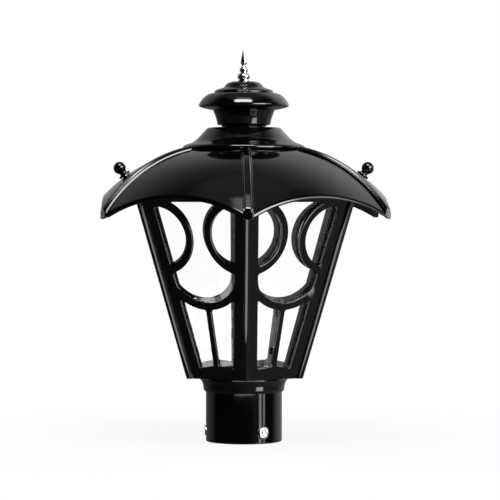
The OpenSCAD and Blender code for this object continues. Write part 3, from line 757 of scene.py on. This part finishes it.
def pole_sleeve():
    """The tube with its rounded mouth, and a countersunk hole for each clamp screw."""
    high = box_mm("pole_sleeve")[1]
    outer, inner, top = high.x, SLEEVE_BORE / 2, high.z
    outline = np.array([(inner, 0), (outer, 0), (outer, top), (inner, top)], float)
    tube = new_scratch(turned_bmesh(rounded(outline, True, 0.9, 3), True, 240))
    for azimuth in CLAMP_ANGLES:
        floor = outer - CLAMP_SINK_DEPTH
        cutter = np.array([(0, inner - 2), (CLAMP_HOLE_D / 2, inner - 2), (CLAMP_HOLE_D / 2, floor),
                           (CLAMP_SINK_D / 2 - 0.3, floor), (CLAMP_SINK_D / 2, floor + 0.3),
                           (CLAMP_SINK_D / 2, outer - 1), (CLAMP_SINK_D / 2 + 0.9, outer + 0.2),
                           (CLAMP_SINK_D / 2 + 2, outer + 3), (0, outer + 3)], float)
        bm = turned_bmesh(cutter, False, 72)
        bm.transform(turn_z(azimuth) @ Matrix.Translation((0, 0, CLAMP_Z)) @
                     Matrix.Rotation(math.pi / 2, 4, "Y"))
        tool = new_scratch(bm)
        cut = tube.modifiers.new("cut", "BOOLEAN")
        cut.operation = "DIFFERENCE"
        cut.solver = "EXACT"
        cut.object = tool
        bpy.context.view_layer.update()
        mesh = bpy.data.meshes.new_from_object(tube.evaluated_get(bpy.context.evaluated_depsgraph_get()))
        tube.modifiers.clear()
        tube.data = mesh
        bpy.data.objects.remove(tool)
    bm = bmesh.new()
    bm.from_mesh(tube.data)
    bpy.data.objects.remove(tube)
    piece = new_piece("pole_sleeve", bm, 35)
    round_normals(piece.data, outer * MM)


def new_scratch(bm):
    bmesh.ops.recalc_face_normals(bm, faces=bm.faces)
    mesh = bpy.data.meshes.new("scratch")
    bm.to_mesh(mesh)
    bm.free()
    item = bpy.data.objects.new("scratch", mesh)
    bpy.context.scene.collection.objects.link(item)
    return item


def round_normals(mesh, radius):
    """Gives the faces on a round wall the wall's true normals, whatever their outlines."""
    normals = [Vector(n.vector) for n in mesh.corner_normals]
    for polygon in mesh.polygons:
        out = Vector((polygon.center.x, polygon.center.y, 0)).normalized()
        if polygon.normal.dot(out) < 0.99:
            continue
        for k in polygon.loop_indices:
            place = mesh.vertices[mesh.loops[k].vertex_index].co
            if abs(math.hypot(place.x, place.y) - radius) < 0.05 * MM:
                normals[k] = Vector((place.x, place.y, 0)).normalized()
    mesh.normals_split_custom_set(normals)


def base_casting():
    """The moulded collar, turned, under the plate that closes the cage."""
    inner, foot, rim = box_mm("pole_sleeve")[1].x + 0.1, CAGE_Z0 - 17.2, 50.4
    waist = rim - 3.4
    outline = np.array([(inner, foot), (inner + 0.8, foot), (waist - 0.8, foot + 1.7),
                        (waist - 0.2, foot + 4.6), (waist + 0.2, foot + 8.6), (waist + 1.6, foot + 12),
                        (rim, foot + 14), (rim, foot + 15.8), (rim - 1, CAGE_Z0),
                        (rim - 1, CAGE_Z0 + 1), (inner, CAGE_Z0 + 1)], float)
    collar = turned_bmesh(rounded(outline, True, 1.4), True, 200)
    plate = cad_bmesh("base_casting")
    trimmed(plate, (0, 0, CAGE_Z0 + 0.01), (0, 0, -1))
    soften_edges(plate, 0.4)
    join_bmesh(collar, plate)
    new_piece("base_casting", collar, 40)


def make_pieces():
    pole_sleeve()
    base_casting()
    side_frames()
    corner_strips()
    roof()
    for node, reach in (("vent_base", 1.6), ("vent_neck", 1.2), ("vent_cap", 1.5), ("finial", 0.8),
                        ("lampholder", 1.2)):
        turned_piece(node, reach)
    turned_piece("holder_shell", 0.3, steps=96)
    turned_piece("centre_rod", 0.6, steps=64)
    for name, azimuth in (("left", 180), ("right", 0)):
        turned_piece(f"ball_nut_{name}", 0.7, stud_place(azimuth), 96)
        turned_piece(f"stud_{name}", 0.4, stud_place(azimuth), 64)
    for node, width in (("clamp_screw_1", 0.45), ("clamp_screw_2", 0.45), ("clamp_screw_3", 0.45),
                        ("base_screws", 0.5), ("top_screws", 0.5), ("top_frame", 0.5), ("roof_bridge", 0.4),
                        ("rod_nut", 0.5), ("centre_contact", 0.3)):
        softened_piece(node, width)
    for i in range(SIDES):
        pane = frame["nodes"][f"glass_pane_{i + 1}"]
        pane.data.materials.clear()
        pane.data.materials.append(MATERIALS["clear_glass"])


# Camera, lamps and floor

def make_camera():
    right = Vector((math.cos(CAMERA_AZIMUTH), math.sin(CAMERA_AZIMUTH), 0))
    place = Vector((math.sin(CAMERA_AZIMUTH), -math.cos(CAMERA_AZIMUTH), 0)) * CAMERA_DISTANCE
    place.z = CAMERA_HEIGHT
    aim = right * AIM_RIGHT + Vector((0, 0, AIM_HEIGHT))
    data = bpy.data.cameras.new("camera")
    data.sensor_width = SENSOR
    data.lens = SENSOR * (aim - place).length / MM_PER_PX / IMAGE_PX
    data.clip_end = 50
    camera = bpy.data.objects.new("camera", data)
    camera.location = place * MM
    camera.rotation_euler = (aim - place).to_track_quat("-Z", "Y").to_euler()
    bpy.context.scene.collection.objects.link(camera)
    bpy.context.scene.camera = camera


def direction(azimuth, elevation):
    """A unit vector. Azimuth is measured from +X towards +Y, in degrees."""
    a, e = math.radians(azimuth), math.radians(elevation)
    return Vector((math.cos(a) * math.cos(e), math.sin(a) * math.cos(e), math.sin(e)))


def softbox(name, azimuth, elevation, distance, width, height, radiance, aim=(0, 0, 0.27)):
    """A rectangular lamp that lights the lantern. The world holds what its gloss mirrors."""
    out = direction(azimuth, elevation)
    data = bpy.data.lights.new(name, "AREA")
    data.shape = "RECTANGLE"
    data.size = width
    data.size_y = height
    data.energy = radiance * math.pi * width * height
    lamp = bpy.data.objects.new(name, data)
    lamp.location = Vector(aim) + out * distance
    lamp.rotation_euler = (-out).to_track_quat("-Z", "Y").to_euler()
    lamp.visible_glossy = False
    bpy.context.scene.collection.objects.link(lamp)


def make_lamps():
    softbox("front_top", -94, 62, 1.6, 0.7, 0.7, 8)
    softbox("front_right", -42, 25, 1.7, 0.6, 0.5, 5)
    softbox("left_back", 150, 45, 1.8, 0.6, 0.6, 4)


# What two panes take from the white behind them
GLASS_LOSS = 0.12
# What the gloss mirrors: azimuth, elevation, width and height in degrees, and strength, where 1 is white
REFLECTIONS = {
    "top softbox": (-94, 63, 32, 15, 20),
    "top softbox, far end": (-92, 78, 24, 15, 2),
    "right softbox": (-48, 21, 34, 27, 16),
    "right softbox, far end": (-24, 21, 18, 27, 4),
    "right softbox, foot": (-50, 2, 26, 8, 12),
    "right softbox in the table": (-45, -19, 20, 12, 7),
    "low strip": (-41, -6, 8, 8, 4),
    "card at the clamp screw": (-28.5, -5.5, 7, 6, 3),
}


def mirrored_card(nodes, links, ray, azimuth, elevation, width, height, strength):
    """The brightness of a soft-edged rectangle that the world holds in one direction."""
    ahead = direction(azimuth, elevation)
    right = ahead.cross(Vector((0, 0, 1))).normalized()
    up = right.cross(ahead)

    def along(axis):
        node = nodes.new("ShaderNodeVectorMath")
        node.operation = "DOT_PRODUCT"
        node.inputs[1].default_value = axis
        links.new(ray, node.inputs[0])
        return node.outputs["Value"]

    depth = along(ahead)
    shape = maths(nodes, links, "GREATER_THAN", depth, 0.05)
    for axis, angle in ((right, width), (up, height)):
        half = math.tan(math.radians(angle / 2))
        offset = maths(nodes, links, "ABSOLUTE", maths(nodes, links, "DIVIDE", along(axis), depth))
        edge = fade(nodes, links, offset, half * 0.86, half * 1.14, 1, 0)
        shape = maths(nodes, links, "MULTIPLY", shape, edge)
    return maths(nodes, links, "MULTIPLY", shape, strength)


def make_world():
    """A white room for the camera and the glass. The gloss mirrors its pale wall behind the lantern, the
    softboxes and the dark room in front, and other surfaces get plain light."""
    world = bpy.data.worlds.new("studio")
    bpy.context.scene.world = world
    world.use_nodes = True
    nodes, links = world.node_tree.nodes, world.node_tree.links
    nodes.clear()
    rays = nodes.new("ShaderNodeLightPath")
    place = nodes.new("ShaderNodeTexCoord")
    split = nodes.new("ShaderNodeSeparateXYZ")
    links.new(place.outputs["Generated"], split.inputs["Vector"])
    wall = nodes.new("ShaderNodeValToRGB")
    heights = ((-0.3, 0.1), (-0.05, 0.2), (0.0, 1), (0.05, 0.9), (0.13, 0.45), (0.3, 0.42), (0.66, 0.4),
               (0.84, 0.16), (1.0, 0.14))
    steps = wall.color_ramp.elements
    while len(steps) < len(heights):
        steps.new(0.5)
    for step, (z, level) in zip(steps, heights):
        step.position = (z + 1) / 2
        step.color = (level, level, level, 1)
    links.new(maths(nodes, links, "MULTIPLY_ADD", split.outputs["Z"], 0.5, 0.5), wall.inputs["Fac"])
    behind = fade(nodes, links, split.outputs["Y"], 0.0, 0.5, 0, 1)
    right = fade(nodes, links, split.outputs["X"], 0.05, 0.5, 1, 2.6)
    glossy = maths(nodes, links, "MULTIPLY", wall.outputs["Color"],
                   maths(nodes, links, "MULTIPLY", behind, right))
    ceiling = fade(nodes, links, split.outputs["Z"], 0.86, 0.95, 0, 0.2)
    table = maths(nodes, links, "MULTIPLY", fade(nodes, links, split.outputs["X"], -0.6, 0.7, 0.05, 0.24),
                  fade(nodes, links, split.outputs["Z"], -0.35, -0.1, 1, 0.1))
    glossy = maths(nodes, links, "MAXIMUM", glossy, maths(nodes, links, "MAXIMUM", ceiling, table))
    for card in REFLECTIONS.values():
        shine = mirrored_card(nodes, links, place.outputs["Generated"], *card)
        glossy = maths(nodes, links, "MAXIMUM", glossy, shine)
    straight = maths(nodes, links, "MAXIMUM", rays.outputs["Is Camera Ray"],
                     rays.outputs["Is Transmission Ray"])
    mirrored = maths(nodes, links, "MULTIPLY", rays.outputs["Is Glossy Ray"], glossy)
    others = maths(nodes, links, "SUBTRACT", 1, rays.outputs["Is Glossy Ray"])
    plain = maths(nodes, links, "MULTIPLY", others, PLAIN_LIGHT)
    background = nodes.new("ShaderNodeBackground")
    through = maths(nodes, links, "MULTIPLY_ADD", rays.outputs["Is Transmission Ray"], GLASS_LOSS, straight)
    links.new(maths(nodes, links, "MAXIMUM", through, maths(nodes, links, "MAXIMUM", mirrored, plain)),
              background.inputs["Strength"])
    background.inputs["Color"].default_value = (1, 1, 1, 1)
    links.new(background.outputs["Background"], nodes.new("ShaderNodeOutputWorld").inputs["Surface"])


def make_floor():
    """A pale floor that melts into the white room, with the lantern's soft shadow on it."""
    material, nodes, links, shader = new_material("floor")
    grain = noise(nodes, links, 6, 3)
    links.new(two_tones(nodes, links, grain, (0.80, 0.80, 0.80), (0.84, 0.84, 0.84)),
              shader.inputs["Base Color"])
    shader.inputs["Roughness"].default_value = 0.7
    shader.inputs["Specular IOR Level"].default_value = 0.1
    place = nodes.new("ShaderNodeTexCoord")
    away = nodes.new("ShaderNodeVectorMath")
    away.operation = "LENGTH"
    links.new(place.outputs["Object"], away.inputs[0])
    rays = nodes.new("ShaderNodeLightPath")
    straight = maths(nodes, links, "MAXIMUM", rays.outputs["Is Camera Ray"],
                     rays.outputs["Is Transmission Ray"])
    share = fade(nodes, links, away.outputs["Value"], 0.15, 0.6, 0.88, 1)
    seen = maths(nodes, links, "MULTIPLY", straight, share)
    glow = nodes.new("ShaderNodeEmission")
    links.new(maths(nodes, links, "MULTIPLY_ADD", rays.outputs["Is Transmission Ray"], GLASS_LOSS, 1),
              glow.inputs["Strength"])
    mix = nodes.new("ShaderNodeMixShader")
    links.new(seen, mix.inputs["Fac"])
    links.new(shader.outputs["BSDF"], mix.inputs[1])
    links.new(glow.outputs["Emission"], mix.inputs[2])
    links.new(mix.outputs["Shader"], nodes["Material Output"].inputs["Surface"])
    bm = bmesh.new()
    bmesh.ops.create_grid(bm, x_segments=8, y_segments=8, size=FLOOR_HALF)
    mesh = bpy.data.meshes.new("floor")
    bm.to_mesh(mesh)
    bm.free()
    mesh.materials.append(material)
    floor = bpy.data.objects.new("floor", mesh)
    floor.location.z = box_mm("pole_sleeve")[0].z * MM
    floor.visible_glossy = False
    bpy.context.scene.collection.objects.link(floor)


def make_front_card():
    """A pale card along the cage's slope, which only the gloss mirrors, as the streak on the front corner."""
    material, _, _, shader = new_material("front_card")
    shader.inputs["Base Color"].default_value = (0, 0, 0, 1)
    shader.inputs["Emission Color"].default_value = (1, 1, 1, 1)
    shader.inputs["Emission Strength"].default_value = FRONT_CARD_GLOW
    bm = bmesh.new()
    bm.faces.new([bm.verts.new(corner) for corner in FRONT_CARD])
    mesh = bpy.data.meshes.new("front_card")
    bm.to_mesh(mesh)
    bm.free()
    mesh.materials.append(material)
    card = bpy.data.objects.new("front_card", mesh)
    card.visible_camera = card.visible_diffuse = card.visible_transmission = card.visible_shadow = False
    bpy.context.scene.collection.objects.link(card)


make_materials()
make_pieces()
make_camera()
make_lamps()
make_world()
make_floor()
make_front_card()
bpy.context.scene.view_settings.view_transform = "Standard"
